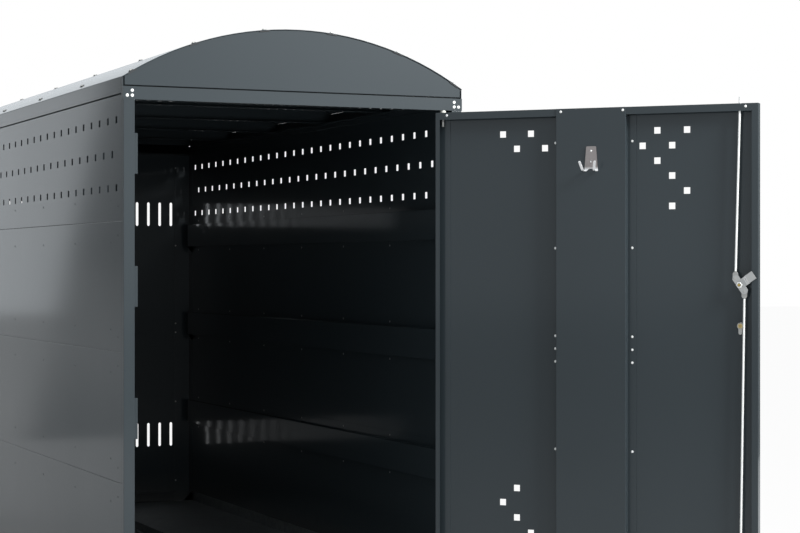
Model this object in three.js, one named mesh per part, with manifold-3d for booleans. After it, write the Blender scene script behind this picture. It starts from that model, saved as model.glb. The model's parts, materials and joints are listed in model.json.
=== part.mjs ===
// Bicycle locker: a single-bay sheet steel locker with an arched roof and one pivoted door.
// Millimetres. X runs across the front, +Y from the door to the back wall, +Z up.
// The origin is on the ground, under the middle of the floor.
import * as THREE from 'three';
import { mergeVertices } from 'three/addons/utils/BufferGeometryUtils.js';
import Module from 'manifold-3d';

const wasm = await Module();
wasm.setup();

// Driving dimensions of the whole locker
const width = 950;
const depth = 2380;
const eaveRise = 33.5;
const roofRadius = 885;
const panelSheet = 1.5;
const frameSheet = 2;
const runningGap = 0.3;
const turningGap = 0.6;
const shadowGap = 3.5;
const overrun = 5;
const weldTolerance = 0.0001;
const roundSteps = 16;
const roofSteps = 28;

// Frame members
const post = { face: 29, sideReturn: 18, lapReach: 40, revealDepth: 45, joggle: 2 };
const rearPost = { sideLeg: 40, rearLeg: 62 };
const header = { drop: 26.5, rise: 6.5, lipDepth: 34, topLip: 14, sideReturn: 18 };
const base = { height: 40.5, flange: 40, bar: 3, crossWidth: 80, sillDepth: 34 };
const floorSheet = 3;
const wheelChannel = { width: 75, height: 28, sheet: 2, rearGap: 60 };

// Walls
const sidePanel = { bottom: 12, height: 334, count: 4, seam: 0.6 };
const sideSlot = { width: 16, height: 18, pitch: 80, first: 66 };
const sideSlotRow = { topDrop: 75, pitch: 87, count: 3 };
const seamRail = { crown: 84, flange: 26, depth: 20, sheet: 1.5 };
const backPanel = { lowerHeight: 648, seam: 0.6, joint: 50 };
const backSlot = { width: 10, height: 90, count: 19, edge: 75, endSteps: 4 };
const backSlotRow = { bottomRise: 245, topDrop: 226.5 };

// Roof
const gable = { flange: 20, tuck: 26, sideReturn: 18, inset: 3.2, recess: 3 };
const fascia = { lap: 9.5, shelf: 30, sheet: 1.5 };
const roofRib = { rows: 6, edge: 8, web: 2, topFlange: 26, bottomFlange: 30, sheet: 1.5 };
const ribSlot = { width: 22, depth: 8, pitch: 60, count: 13 };

// Door leaf, a tray hung on a pivot pin near its right-hand edge
const leaf = { gap: 3, hingeGap: 8, bottomGap: 3, topGap: 7, depth: 25 };
const leafReturn = { free: 16.5, hinge: 11.5, end: 19.5 };
const pivot = { inset: 23, setback: 8, pinRadius: 4, holeRadius: 4.6, reach: 37.5 };
const pivotHead = { radius: 5.6, height: 7 };
const pivotBush = { radius: 8 };
const openAngle = 133.5;
const vent = { side: 17, pitch: 39.5, column: 134, topDrop: 62 };
const band = { crown: 190, flange: 23 };
const stile = { width: 33, sheet: 1.5 };
const stopTab = { height: 105, reach: 16, leg: 14, sheet: 2, behindLeaf: 2 };
const tabPlace = { topDrop: 135.5, keeperDrop: 3.7, lockDrop: 340.5 };

// Lock
const lock = { edge: 48, height: 850, turned: 34.2 };
const rodPin = { reach: 20.8, radius: 2.6, clearance: 0.5 };
const cam = { sheet: 3, near: 7.5, far: 11, halfLength: 28, corner: 6, armReach: 22.5, bend: 6.5, offset: 9 };
const tongue = { reach: 47, width: 22 };
const rod = { radius: 3, setback: 19.9, cover: 0.4 };
const rodEye = { sheet: 2, width: 14, shoulder: 12.5, tail: 18 };
const rodPort = { width: 18, depth: 9, frameWidth: 22, frameDepth: 14 };
const spindle = { side: 7, hubReach: 24, threadRadius: 3.4, thread: 7, holeRadius: 7 };
const nut = { flats: 14, height: 5.5, sides: 6 };
const handle = { hubRadius: 9, standOff: 36, length: 100, height: 18, thickness: 12 };
const escutcheon = { width: 34, height: 165, top: 26, sheet: 6, hubHoleRadius: 9.6 };
const cylinder = { drop: 105, radius: 8.5, tailWidth: 9.4, tailDrop: 22, proud: 3, inside: 16 };
const cylinderCore = { radius: 6.4 };
const keySlot = { width: 1.6, height: 8, depth: 6 };

// Coat hook on the band
const hook = { topDrop: 101, height: 66, topWidth: 27, footWidth: 37, sheet: 2, offset: 2.2 };
const hookArm = { run: 28, reach: 42, rise: 25, width: 6.5 };

// Places that follow from the sizes above
const halfWidth = width / 2;
const front = -depth / 2;
const rear = depth / 2;
const wallInner = halfWidth - panelSheet;
const opening = halfWidth - post.face;
const wallTop = sidePanel.bottom + sidePanel.height * sidePanel.count;
const headerBottom = wallTop - header.drop;
const headerTop = wallTop + header.rise;
const eaveHeight = wallTop + eaveRise;
const roofCentre = eaveHeight - Math.sqrt(roofRadius ** 2 - halfWidth ** 2);
const roofUnderside = roofRadius - panelSheet;
const seatRadius = roofUnderside - runningGap;
const roofHalf = halfWidth + fascia.sheet;
const eaveTop = roofCentre + Math.sqrt(seatRadius ** 2 - roofHalf ** 2);
const ribPitch = (depth - 2 * roofRib.edge) / (roofRib.rows - 1);
const leafBottom = base.height + leaf.bottomGap;
const leafTop = headerBottom - leaf.topGap;
const pivotX = opening - pivot.inset;
const leafSpan = [leaf.hingeGap - pivot.inset, pivotX + opening - leaf.gap];
const leafMiddle = pivotX;
const spindleX = leafSpan[1] - lock.edge;
const degrees = Math.PI / 180;

const finish = (name, color, roughness, metalness) =>
  new THREE.MeshStandardMaterial({ name, color, roughness, metalness });
const anthracite = finish('anthracite_paint', 0x383e42, 0.42, 0.1);
const roofPaint = finish('roof_paint', 0x6a7176, 0.4, 0.1);
const galvanised = finish('galvanised_steel', 0x9a9c9c, 0.5, 0.9);
const zinc = finish('zinc_plated_steel', 0xc6c8c8, 0.35, 0.95);
const stainless = finish('stainless_steel', 0x9c9694, 0.4, 1);
const brass = finish('brass', 0xb09a5a, 0.4, 1);
const nylon = finish('nylon', 0xd8d8d2, 0.6, 0);

// Solids from outlines and spans
function solidOf(geometry) {
  geometry.deleteAttribute('normal');
  geometry.deleteAttribute('uv');
  const merged = mergeVertices(geometry, weldTolerance);
  const vertProperties = merged.attributes.position.array;
  const triVerts = new Uint32Array(merged.index.array);
  return new wasm.Manifold(new wasm.Mesh({ numProp: 3, vertProperties, triVerts }));
}

const alongAxis = {
  x: [[0, 1, 0], [0, 0, 1], [1, 0, 0]],
  y: [[1, 0, 0], [0, 0, 1], [0, -1, 0]],
  z: [[1, 0, 0], [0, 1, 0], [0, 0, 1]],
};

// An outline in the plane square to an axis, carried from one place on that axis to another.
function prism(axis, [from, to], outline, holes = []) {
  const shape = new THREE.Shape(outline.map(([a, b]) => new THREE.Vector2(a, b)));
  const geometry = new THREE.ExtrudeGeometry(shape, { depth: to - from, bevelEnabled: false });
  const basis = alongAxis[axis].map((v) => new THREE.Vector3(...v));
  geometry.applyMatrix4(new THREE.Matrix4().makeBasis(...basis));
  const shift = axis === 'y' ? [0, to, 0] : axis === 'x' ? [from, 0, 0] : [0, 0, from];
  geometry.translate(...shift);
  const through = [from - overrun, to + overrun];
  return holes.reduce((solid, hole) => solid.subtract(prism(axis, through, hole)), solidOf(geometry));
}

const rectangle = ([x0, x1], [y0, y1]) => [[x0, y0], [x1, y0], [x1, y1], [x0, y1]];
const block = (x, y, z) => prism('z', z, rectangle(x, y));
const centred = (middle, size) => [middle - size / 2, middle + size / 2];
const mirrored = (points) => points.map(([a, b]) => [-a, b]).reverse();

function arc(cx, cy, radius, from, to, steps) {
  const points = [];
  for (let i = 0; i <= steps; i += 1) {
    const angle = (from + ((to - from) * i) / steps) * degrees;
    points.push([cx + radius * Math.cos(angle), cy + radius * Math.sin(angle)]);
  }
  return points;
}

const disc = (cx, cy, radius, steps = roundSteps) => arc(cx, cy, radius, 0, 360, steps).slice(0, -1);
const fuse = (first, ...rest) => rest.reduce((sum, piece) => sum.add(piece), first);
const cut = (first, ...rest) => rest.reduce((sum, piece) => sum.subtract(piece), first);

const locker = new THREE.Group();
locker.name = 'bicycle_locker';

function place(group, name, material, solid) {
  const { vertProperties, triVerts } = solid.getMesh();
  const geometry = new THREE.BufferGeometry();
  geometry.setAttribute('position', new THREE.BufferAttribute(vertProperties, 3));
  geometry.setIndex(new THREE.BufferAttribute(triVerts, 1));
  geometry.computeVertexNormals();
  const mesh = new THREE.Mesh(geometry, material);
  mesh.name = name;
  group.add(mesh);
  return mesh;
}

// Both hands of a member that is modelled on the right, at +X
function placePair(name, material, build) {
  place(locker, `${name}_right`, material, build(1));
  place(locker, `${name}_left`, material, build(-1));
}

const handed = (side, points) => (side > 0 ? points : mirrored(points));
const acrossSide = (side, [inner, outer]) => (side > 0 ? [inner, outer] : [-outer, -inner]);

// Base frame: threshold and rear sill, side rails, a middle bar and the floor
function channelSill(faceAtFront, halfLength) {
  const face = faceAtFront ? front : rear - panelSheet;
  const inward = faceAtFront ? 1 : -1;
  const back = face + inward * base.sillDepth;
  const skin = face + inward * frameSheet;
  const across = [-halfLength, halfLength];
  const span = (a, b) => [Math.min(a, b), Math.max(a, b)];
  return fuse(
    block(across, span(face, skin), [0, base.height]),
    block(across, span(face, back), [base.height - frameSheet, base.height]),
    block(across, span(face, back), [0, frameSheet]),
  );
}

const rodX = pivotX - spindleX;
const rodY = front + rod.setback;
const portInFrame = (z) =>
  block(centred(rodX, rodPort.frameWidth), centred(rodY, rodPort.frameDepth), z);
const pinHoleInFrame = (z) => prism('z', z, disc(pivotX, front + pivot.setback, pivot.holeRadius));

const threshold = cut(
  channelSill(true, opening),
  portInFrame([base.height - frameSheet - overrun, base.height + overrun]),
  pinHoleInFrame([base.height - frameSheet - overrun, base.height + overrun]),
);
place(locker, 'threshold', anthracite, threshold);
place(locker, 'rear_sill', anthracite, channelSill(false, halfWidth - rearPost.rearLeg));

const railSpan = [front + post.lapReach, rear - panelSheet - rearPost.sideLeg];
const floorSpan = [front + post.revealDepth, railSpan[1]];
placePair('base_rail', galvanised, (side) => {
  const outer = wallInner;
  const leg = [outer - base.bar, outer];
  const foot = [outer - base.flange, outer];
  return fuse(
    block(acrossSide(side, leg), railSpan, [0, base.height]),
    block(acrossSide(side, foot), floorSpan, [0, base.bar]),
  );
});

const footInner = wallInner - base.flange;
place(locker, 'base_cross_bar', galvanised,
  block([-footInner, footInner], centred(0, base.crossWidth), [0, base.bar]));

const floorTop = base.bar + floorSheet;
const floorHalf = wallInner - base.bar;
place(locker, 'floor_panel', galvanised,
  block([-floorHalf, floorHalf], floorSpan, [base.bar, floorTop]));

const channelFront = floorSpan[0];
const channelRear = rear - wheelChannel.rearGap;
const channelHalf = wheelChannel.width / 2;
const channelInner = channelHalf - wheelChannel.sheet;
const channelTop = floorTop + wheelChannel.height;
place(locker, 'wheel_channel', galvanised, prism('y', [channelFront, channelRear], [
  [-channelHalf, floorTop],
  [channelHalf, floorTop],
  [channelHalf, channelTop],
  [channelInner, channelTop],
  [channelInner, floorTop + wheelChannel.sheet],
  [-channelInner, floorTop + wheelChannel.sheet],
  [-channelInner, channelTop],
  [-channelHalf, channelTop],
]));

// Front posts: face, side return, a flange joggled in behind the wall, and the door reveal
placePair('front_post', anthracite, (side) => {
  const out = halfWidth;
  const lap = wallInner - frameSheet;
  return prism('z', [0, headerBottom], handed(side, [
    [out, front],
    [out, front + post.sideReturn],
    [wallInner, front + post.sideReturn],
    [wallInner, front + post.lapReach],
    [lap, front + post.lapReach],
    [lap, front + post.sideReturn - post.joggle],
    [out - frameSheet, front + post.sideReturn - post.joggle],
    [out - frameSheet, front + frameSheet],
    [opening + frameSheet, front + frameSheet],
    [opening + frameSheet, front + post.revealDepth],
    [opening, front + post.revealDepth],
    [opening, front],
  ]));
});

placePair('rear_post', anthracite, (side) => {
  const out = wallInner;
  const back = rear - panelSheet;
  return prism('z', [0, headerBottom], handed(side, [
    [out, back],
    [halfWidth - rearPost.rearLeg, back],
    [halfWidth - rearPost.rearLeg, back - frameSheet],
    [out - frameSheet, back - frameSheet],
    [out - frameSheet, back - rearPost.sideLeg],
    [out, back - rearPost.sideLeg],
  ]));
});

// Headers over the opening and over the back wall
const headerSides = [front, front + header.sideReturn];
const earSides = [front + gable.recess, front + header.sideReturn];
const capSide = [halfWidth, roofHalf];
const frontHeader = cut(
  fuse(
    block([-roofHalf, roofHalf], [front, front + panelSheet], [headerBottom, headerTop]),
    block([-wallInner, wallInner], [front, front + header.lipDepth],
      [headerBottom, headerBottom + frameSheet]),
    block([-wallInner, wallInner], [front, front + header.topLip],
      [headerTop - panelSheet, headerTop]),
    ...[1, -1].flatMap((side) => [
      block(acrossSide(side, capSide), headerSides, [headerBottom, headerTop]),
      block(acrossSide(side, capSide), earSides, [headerBottom, eaveTop]),
    ]),
  ),
  portInFrame([headerBottom - overrun, headerBottom + frameSheet + overrun]),
  pinHoleInFrame([headerBottom - overrun, headerBottom + frameSheet + overrun]),
);
place(locker, 'front_header', anthracite, frontHeader);
place(locker, 'rear_header', anthracite, fuse(
  block([-halfWidth, halfWidth], [rear - panelSheet, rear], [headerBottom, headerTop]),
  block([-wallInner, wallInner], [rear - header.lipDepth, rear],
    [headerBottom, headerBottom + frameSheet]),
));

// Walls of sheet panels; the side walls' top panels and both back panels are slotted
const slotsInRow = 1 + Math.round((depth - 2 * sideSlot.first) / sideSlot.pitch);
function slotColumns(staggered) {
  const first = front + sideSlot.first + (staggered ? sideSlot.pitch / 2 : 0);
  const count = staggered ? slotsInRow - 1 : slotsInRow;
  return Array.from({ length: count }, (_, i) => first + i * sideSlot.pitch);
}

function sidePanelSolid(side, index) {
  const bottom = sidePanel.bottom + index * sidePanel.height;
  const seam = index === sidePanel.count - 1 ? 0 : sidePanel.seam;
  const heights = [bottom, bottom + sidePanel.height - seam];
  const lengths = [front + post.sideReturn + sidePanel.seam, rear - panelSheet];
  const holes = [];
  if (index === sidePanel.count - 1) {
    for (let row = 0; row < sideSlotRow.count; row += 1) {
      const z = wallTop - sideSlotRow.topDrop - row * sideSlotRow.pitch;
      for (const y of slotColumns(row % 2 === 1)) {
        holes.push(rectangle(centred(y, sideSlot.width), centred(z, sideSlot.height)));
      }
    }
  }
  return prism('x', acrossSide(side, [wallInner, halfWidth]), rectangle(lengths, heights), holes);
}

for (let index = 0; index < sidePanel.count; index += 1) {
  placePair(`side_panel_${index + 1}`, anthracite, (side) => sidePanelSolid(side, index));
}

// Hat-section rails riveted over the three seams of each side wall
for (let index = 1; index < sidePanel.count; index += 1) {
  placePair(`seam_rail_${index}`, anthracite, (side) => {
    const seam = sidePanel.bottom + index * sidePanel.height;
    const flangeEnd = seamRail.crown / 2 + seamRail.flange;
    const crownEnd = seamRail.crown / 2;
    const flat = wallInner - seamRail.sheet;
    const crown = wallInner - seamRail.depth;
    const inside = crown + seamRail.sheet;
    return prism('y', railSpan, handed(side, [
      [wallInner, seam - flangeEnd],
      [wallInner, seam - crownEnd + seamRail.sheet],
      [inside, seam - crownEnd + seamRail.sheet],
      [inside, seam + crownEnd - seamRail.sheet],
      [wallInner, seam + crownEnd - seamRail.sheet],
      [wallInner, seam + flangeEnd],
      [flat, seam + flangeEnd],
      [flat, seam + crownEnd],
      [crown, seam + crownEnd],
      [crown, seam - crownEnd],
      [flat, seam - crownEnd],
      [flat, seam - flangeEnd],
    ]));
  });
}

function roundEnded(cx, cz) {
  const r = backSlot.width / 2;
  const reach = backSlot.height / 2 - r;
  const upper = arc(cx, cz + reach, r, 0, 180, backSlot.endSteps);
  const lower = arc(cx, cz - reach, r, 180, 360, backSlot.endSteps);
  return [...upper, ...lower];
}

function backPanelSolid(heights, slotHeight) {
  const span = width - 2 * backSlot.edge;
  const holes = [];
  for (let i = 0; i < backSlot.count; i += 1) {
    holes.push(roundEnded(-span / 2 + (i * span) / (backSlot.count - 1), slotHeight));
  }
  return prism('y', [rear - panelSheet, rear], rectangle([-halfWidth, halfWidth], heights), holes);
}

const backSeam = sidePanel.bottom + backPanel.lowerHeight;
place(locker, 'back_panel_lower', anthracite,
  backPanelSolid([sidePanel.bottom, backSeam - backPanel.seam], sidePanel.bottom + backSlotRow.bottomRise));
place(locker, 'back_panel_upper', anthracite,
  backPanelSolid([backSeam, headerBottom], headerBottom - backSlotRow.topDrop));
const jointHalf = halfWidth - rearPost.rearLeg - runningGap;
place(locker, 'back_joint_strip', anthracite, block([-jointHalf, jointHalf],
  [rear - 2 * panelSheet, rear - panelSheet], centred(backSeam, backPanel.joint)));

// Roof: an arched sheet on two gables and four ribs, closed by a fascia at each eave
function archAngles(radius, halfSpan) {
  const lean = Math.asin(halfSpan / radius) / degrees;
  return [90 - lean, 90 + lean];
}

function archBand(outer, inner, halfSpan) {
  const [right, left] = archAngles(outer, halfSpan);
  const [innerRight, innerLeft] = archAngles(inner, halfSpan);
  return [
    ...arc(0, roofCentre, outer, right, left, roofSteps),
    ...arc(0, roofCentre, inner, innerLeft, innerRight, roofSteps),
  ];
}

function archPlate(outer, halfSpan, bottom) {
  const [right, left] = archAngles(outer, halfSpan);
  return [
    [-halfSpan, bottom],
    [halfSpan, bottom],
    ...arc(0, roofCentre, outer, right, left, roofSteps),
  ];
}

place(locker, 'roof_sheet', roofPaint,
  prism('y', [front, rear], archBand(roofRadius, roofUnderside, roofHalf)));

const gableBottom = headerTop + shadowGap;
function gableSolid(face, flange, tuck, half, tuckHalf) {
  return [
    prism('y', face, archPlate(seatRadius, half, gableBottom)),
    prism('y', flange, archBand(seatRadius, seatRadius - panelSheet, half)),
    block([-tuckHalf, tuckHalf], tuck, [headerTop - gable.tuck, gableBottom + panelSheet]),
  ];
}

// The front gable stands a little behind the header's ears, with a dark joint round it
const gableHalf = halfWidth - gable.inset;
const gableFront = front + gable.recess;
const gableSide = [gableFront, front + gable.sideReturn];
const gableEave = roofCentre + Math.sqrt(seatRadius ** 2 - gableHalf ** 2);
const tuckFace = front + header.topLip;
place(locker, 'front_gable', anthracite, fuse(
  ...gableSolid([gableFront, gableFront + panelSheet], [gableFront, gableFront + gable.flange],
    [tuckFace, tuckFace + panelSheet], gableHalf, gableHalf),
  block([-gableHalf, gableHalf], [gableFront, tuckFace + panelSheet],
    [gableBottom, gableBottom + panelSheet]),
  block([gableHalf - panelSheet, gableHalf], gableSide, [gableBottom, gableEave]),
  block([-gableHalf, panelSheet - gableHalf], gableSide, [gableBottom, gableEave]),
));
place(locker, 'rear_gable', anthracite, fuse(
  ...gableSolid([rear - panelSheet, rear], [rear - gable.flange, rear],
    [rear - 2 * panelSheet, rear - panelSheet], halfWidth, wallInner - panelSheet),
));

placePair('eave_fascia', anthracite, (side) => fuse(
  block(acrossSide(side, [halfWidth, roofHalf]),
    [front + header.sideReturn + sidePanel.seam, rear], [wallTop - fascia.lap, eaveTop]),
  block(acrossSide(side, [halfWidth - fascia.shelf, halfWidth]),
    [front + post.revealDepth, rear - header.lipDepth - runningGap],
    [wallTop, wallTop + fascia.sheet]),
));

const ribBottom = wallTop + fascia.sheet;
for (let row = 1; row < roofRib.rows - 1; row += 1) {
  const y = front + roofRib.edge + row * ribPitch;
  const halfSpan = halfWidth - runningGap;
  const web = centred(y, roofRib.web);
  const slots = Array.from({ length: ribSlot.count }, (_, i) => {
    const x = (i - (ribSlot.count - 1) / 2) * ribSlot.pitch;
    return block(centred(x, ribSlot.width), centred(y + roofRib.bottomFlange / 4, ribSlot.depth),
      [ribBottom - overrun, ribBottom + roofRib.sheet + overrun]);
  });
  place(locker, `roof_rib_${row}`, anthracite, cut(
    fuse(
      prism('y', web, archPlate(seatRadius, halfSpan, ribBottom)),
      prism('y', centred(y, roofRib.topFlange),
        archBand(seatRadius, seatRadius - roofRib.sheet, halfSpan)),
      block([-halfSpan, halfSpan], centred(y, roofRib.bottomFlange),
        [ribBottom, ribBottom + roofRib.sheet]),
    ),
    ...slots,
  ));
}

// Stop tabs on the left post; the middle one is also the keeper for the lock's tongue
const tabFront = front + leaf.depth + stopTab.behindLeaf;
const tabHeights = {
  lower: lock.height - tabPlace.lockDrop,
  middle: lock.height - tabPlace.keeperDrop,
  upper: headerBottom - tabPlace.topDrop,
};
Object.entries(tabHeights).forEach(([level, height]) => {
  const z = centred(height, stopTab.height);
  const x = -opening;
  place(locker, `stop_tab_${level}`, anthracite, fuse(
    block([x, x + stopTab.reach], [tabFront, tabFront + stopTab.sheet], z),
    block([x, x + stopTab.sheet], [tabFront, tabFront + stopTab.leg], z),
  ));
});

// Pivot pins with a bush between the leaf and the frame, at the top and at the bottom
const pivotY = front + pivot.setback;
const pinDisc = (radius, z) => prism('z', z, disc(pivotX, pivotY, radius));
const headSeat = headerBottom + frameSheet + runningGap;
place(locker, 'pivot_pin_top', zinc, fuse(
  pinDisc(pivot.pinRadius, [leafTop - pivot.reach, headSeat]),
  pinDisc(pivotHead.radius, [headSeat, headSeat + pivotHead.height]),
));
const footSeat = base.height - frameSheet - runningGap;
place(locker, 'pivot_pin_bottom', zinc, fuse(
  pinDisc(pivot.pinRadius, [footSeat, leafBottom + pivot.reach]),
  pinDisc(pivotHead.radius, [footSeat - pivotHead.height, footSeat]),
));
const bushAt = (z) => cut(
  pinDisc(pivotBush.radius, z),
  pinDisc(pivot.holeRadius, [z[0] - overrun, z[1] + overrun]),
);
place(locker, 'pivot_bush_top', nylon, bushAt([leafTop + runningGap, headerBottom]));
place(locker, 'pivot_bush_bottom', nylon, bushAt([base.height, leafBottom - runningGap]));

// Door group: its origin is the pivot axis, +X runs to the free edge and +Y to the outside
const door = new THREE.Group();
door.position.set(pivotX, pivotY, 0);
door.rotation.z = (openAngle - 180) * degrees;
locker.add(door);

const skinOut = pivot.setback;
const inside = (setback) => skinOut - setback;
const leafCentreHeight = (leafTop + leafBottom) / 2;
const inset = ([a, b], by) => [a + by, b - by];

// Vent groups: places in steps of the vent grid, outward from the band and down from the top row
const hingeVents = [[3, 0], [1, 0], [2, 1], [0, 1]];
const freeVents = [[1, 0], [3, 0], [0, 1], [2, 1], [1, 2], [2, 3], [3, 4], [2, 5]];
function ventCutters() {
  const places = [
    ...hingeVents.map(([across, down]) => [-1, across, down]),
    ...freeVents.map(([across, down]) => [1, across, down]),
  ];
  const rise = (leafTop - leafBottom) / 2 - vent.topDrop;
  return [1, -1].flatMap((turn) => places.map(([side, across, down]) => {
    const x = leafMiddle + turn * side * (vent.column + across * vent.pitch);
    const z = leafCentreHeight + turn * (rise - down * vent.pitch);
    return block(centred(x, vent.side), [inside(panelSheet + overrun), skinOut + overrun],
      centred(z, vent.side));
  }));
}

const profileOutline = (grow) => {
  const z = lock.height - cylinder.drop;
  const half = cylinder.tailWidth / 2 + grow;
  const radius = cylinder.radius + grow;
  const lean = Math.asin(half / radius) / degrees;
  return [
    ...arc(spindleX, z, radius, lean - 90, 270 - lean, roundSteps),
    [spindleX - half, z - cylinder.tailDrop - grow],
    [spindleX + half, z - cylinder.tailDrop - grow],
  ];
};

const leafHeights = [leafBottom, leafTop];
const portInLeaf = (z) =>
  block(centred(spindleX, rodPort.width), centred(inside(rod.setback), rodPort.depth), z);
const pinHoleInLeaf = (z) => prism('z', z, disc(0, 0, pivot.holeRadius));
const nearEdge = (z) => [z - overrun, z + overrun];
const leafSolid = cut(
  block(leafSpan, [inside(leaf.depth), skinOut], leafHeights),
  block(inset(leafSpan, panelSheet), [inside(leaf.depth - panelSheet), inside(panelSheet)],
    inset(leafHeights, panelSheet)),
  block([leafSpan[0] + leafReturn.hinge, leafSpan[1] - leafReturn.free],
    [inside(leaf.depth + overrun), inside(leaf.depth - overrun)], inset(leafHeights, leafReturn.end)),
  ...ventCutters(),
  portInLeaf(nearEdge(leafTop)),
  portInLeaf(nearEdge(leafBottom)),
  pinHoleInLeaf(nearEdge(leafTop)),
  pinHoleInLeaf(nearEdge(leafBottom)),
  prism('y', [inside(panelSheet + overrun), skinOut + overrun],
    disc(spindleX, lock.height, spindle.holeRadius)),
  prism('y', [inside(panelSheet + overrun), skinOut + overrun], profileOutline(runningGap)),
);
place(door, 'door_leaf', anthracite, leafSolid);

// Hat-section band down the middle of the leaf; its crown laps over the end returns
const bandSpan = centred(leafMiddle, band.crown);
const bandFlat = inside(panelSheet + runningGap);
const bandCrown = inside(leaf.depth + runningGap);
const betweenReturns = inset(leafHeights, leafReturn.end + runningGap);
place(door, 'door_band', anthracite, fuse(
  block(bandSpan, [bandCrown - panelSheet, bandCrown], leafHeights),
  block([bandSpan[0], bandSpan[0] + panelSheet], [bandCrown - panelSheet, bandFlat], betweenReturns),
  block([bandSpan[1] - panelSheet, bandSpan[1]], [bandCrown - panelSheet, bandFlat], betweenReturns),
  block([bandSpan[0] - band.flange, bandSpan[0] + panelSheet],
    [bandFlat - panelSheet, bandFlat], betweenReturns),
  block([bandSpan[1] - panelSheet, bandSpan[1] + band.flange],
    [bandFlat - panelSheet, bandFlat], betweenReturns),
));

const stileStart = leafSpan[0] + panelSheet + runningGap;
place(door, 'hinge_stile', anthracite,
  block([stileStart, stileStart + stile.width], [bandFlat - stile.sheet, bandFlat],
    inset(leafHeights, panelSheet + runningGap)));

// Double coat hook: a plate on the band, with two arms that run forward and then rise
const hookTop = leafTop - hook.topDrop;
const hookFoot = hookTop - hook.height;
const hookBack = bandCrown - panelSheet - runningGap;
const hookFront = hookBack - hook.sheet;
const armKnee = hookBack - hookArm.run;
const armTip = hookBack - hookArm.reach;
const armSlope = Math.atan2(hookArm.rise, hookArm.reach - hookArm.run);
const armMitre = hook.sheet * Math.tan(armSlope / 2);
const armOutline = [
  [hookBack, hookFoot],
  [hookBack, hookFoot + hook.sheet],
  [armKnee + armMitre, hookFoot + hook.sheet],
  [
    armTip + hook.sheet * Math.sin(armSlope),
    hookFoot + hookArm.rise + hook.sheet * Math.cos(armSlope),
  ],
  [armTip, hookFoot + hookArm.rise],
  [armKnee, hookFoot],
];
const hookX = leafMiddle + hook.offset;
const hookHalf = hook.footWidth / 2;
place(door, 'coat_hook', stainless, fuse(
  prism('y', [hookFront, hookBack], [
    [hookX - hookHalf, hookFoot],
    [hookX + hookHalf, hookFoot],
    [hookX + hook.topWidth / 2, hookTop],
    [hookX - hook.topWidth / 2, hookTop],
  ]),
  prism('x', [hookX - hookHalf, hookX - hookHalf + hookArm.width], armOutline),
  prism('x', [hookX + hookHalf - hookArm.width, hookX + hookHalf], armOutline),
));

// Escutcheon and profile cylinder on the outer face
const plateOut = skinOut + runningGap + escutcheon.sheet;
const plateTop = lock.height + escutcheon.top;
const plateHalf = escutcheon.width / 2;
place(door, 'escutcheon', stainless, prism('y', [skinOut + runningGap, plateOut], [
  ...arc(spindleX, plateTop - plateHalf, plateHalf, 0, 180, roundSteps / 2),
  ...arc(spindleX, plateTop - escutcheon.height + plateHalf, plateHalf, 180, 360, roundSteps / 2),
], [
  disc(spindleX, lock.height, escutcheon.hubHoleRadius),
  profileOutline(runningGap),
]));

const cylinderEnds = [inside(cylinder.inside), plateOut + cylinder.proud];
const coreHeight = lock.height - cylinder.drop;
place(door, 'lock_cylinder', zinc, prism('y', cylinderEnds, profileOutline(0),
  [disc(spindleX, coreHeight, cylinderCore.radius + turningGap)]));

const keyCore = new THREE.Group();
keyCore.position.set(spindleX, 0, coreHeight);
door.add(keyCore);
place(keyCore, 'key_core', brass, cut(
  prism('y', cylinderEnds, disc(0, 0, cylinderCore.radius)),
  block(centred(0, keySlot.width), [cylinderEnds[1] - keySlot.depth, cylinderEnds[1] + overrun],
    centred(0, keySlot.height)),
));

// Lock group: locked is no turn, and the tongue then points to the free edge
const lockTurn = new THREE.Group();
lockTurn.position.set(spindleX, 0, lock.height);
lockTurn.rotation.y = -lock.turned * degrees;
door.add(lockTurn);

const hubBack = plateOut + runningGap;
const hubFront = hubBack + handle.standOff + handle.thickness;
const gripBack = hubBack + handle.standOff;
const socket = spindle.side + turningGap;
place(lockTurn, 'door_handle', stainless, cut(
  fuse(
    prism('y', [inside(0) + runningGap, hubBack], disc(0, 0, handle.hubRadius)),
    prism('y', [hubBack, hubFront], disc(0, 0, handle.hubRadius)),
    prism('y', [gripBack, hubFront], [
      ...arc(-handle.length + handle.height / 2, 0, handle.height / 2, 90, 270, roundSteps / 2),
      [0, -handle.height / 2],
      [0, handle.height / 2],
    ]),
  ),
  block(centred(0, socket), [-overrun, skinOut + spindle.hubReach + turningGap], centred(0, socket)),
));

const camBack = inside(rod.setback + rodEye.sheet / 2 + rod.cover);
const camFront = camBack - cam.sheet;
const nutSeat = camFront - runningGap;
place(lockTurn, 'lock_spindle', zinc, fuse(
  block(centred(0, spindle.side), [nutSeat + runningGap, skinOut + spindle.hubReach],
    centred(0, spindle.side)),
  prism('y', [nutSeat - spindle.thread, nutSeat + runningGap], disc(0, 0, spindle.threadRadius)),
));

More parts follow.
